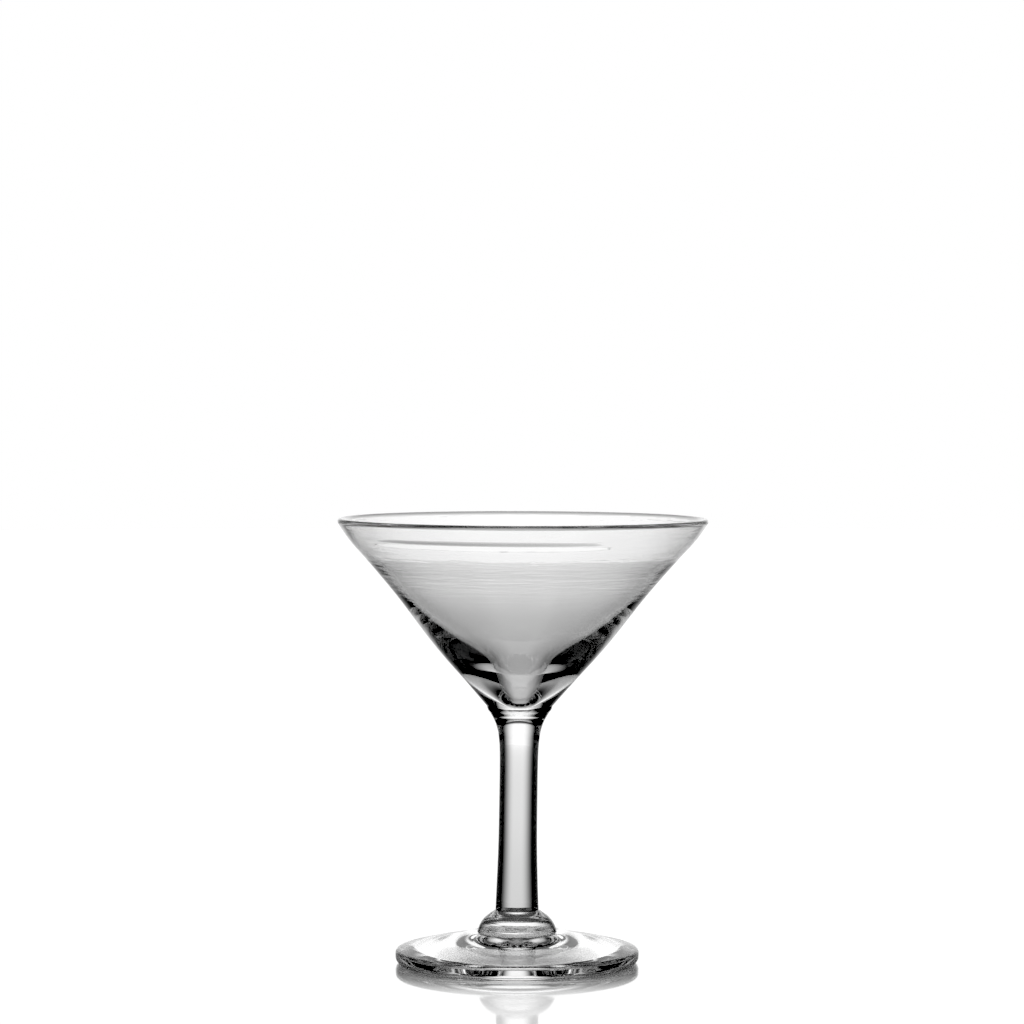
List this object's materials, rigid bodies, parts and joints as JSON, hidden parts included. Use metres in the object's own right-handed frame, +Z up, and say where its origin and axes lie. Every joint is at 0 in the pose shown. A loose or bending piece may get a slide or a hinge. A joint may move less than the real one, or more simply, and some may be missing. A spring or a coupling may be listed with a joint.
{
  "type": "martini glass",
  "caption": "Hand-made clear martini glass: wide conical bowl on a thick solid stem, with a domed collar and a round domed foot.",
  "frame": {"origin": "centre of the circle that the foot stands on, at table height", "axes": "+Z up along the glass's axis, from the foot to the rim; +X and +Y are alike, because the glass is round"},
  "size_m": [0.12, 0.12, 0.1445],
  "materials": {
    "bowl_glass": "clear, fire-polished, with faint hand-made ripples",
    "stem_glass": "clear, fire-polished, drawn",
    "collar_glass": "clear, fire-polished",
    "foot_glass": "clear, fire-polished, with faint tool rings"
  },
  "bodies": {
    "root": {"bowl": "bowl_glass", "stem": "stem_glass", "foot_collar": "collar_glass", "foot": "foot_glass"}
  },
  "joints": []
}
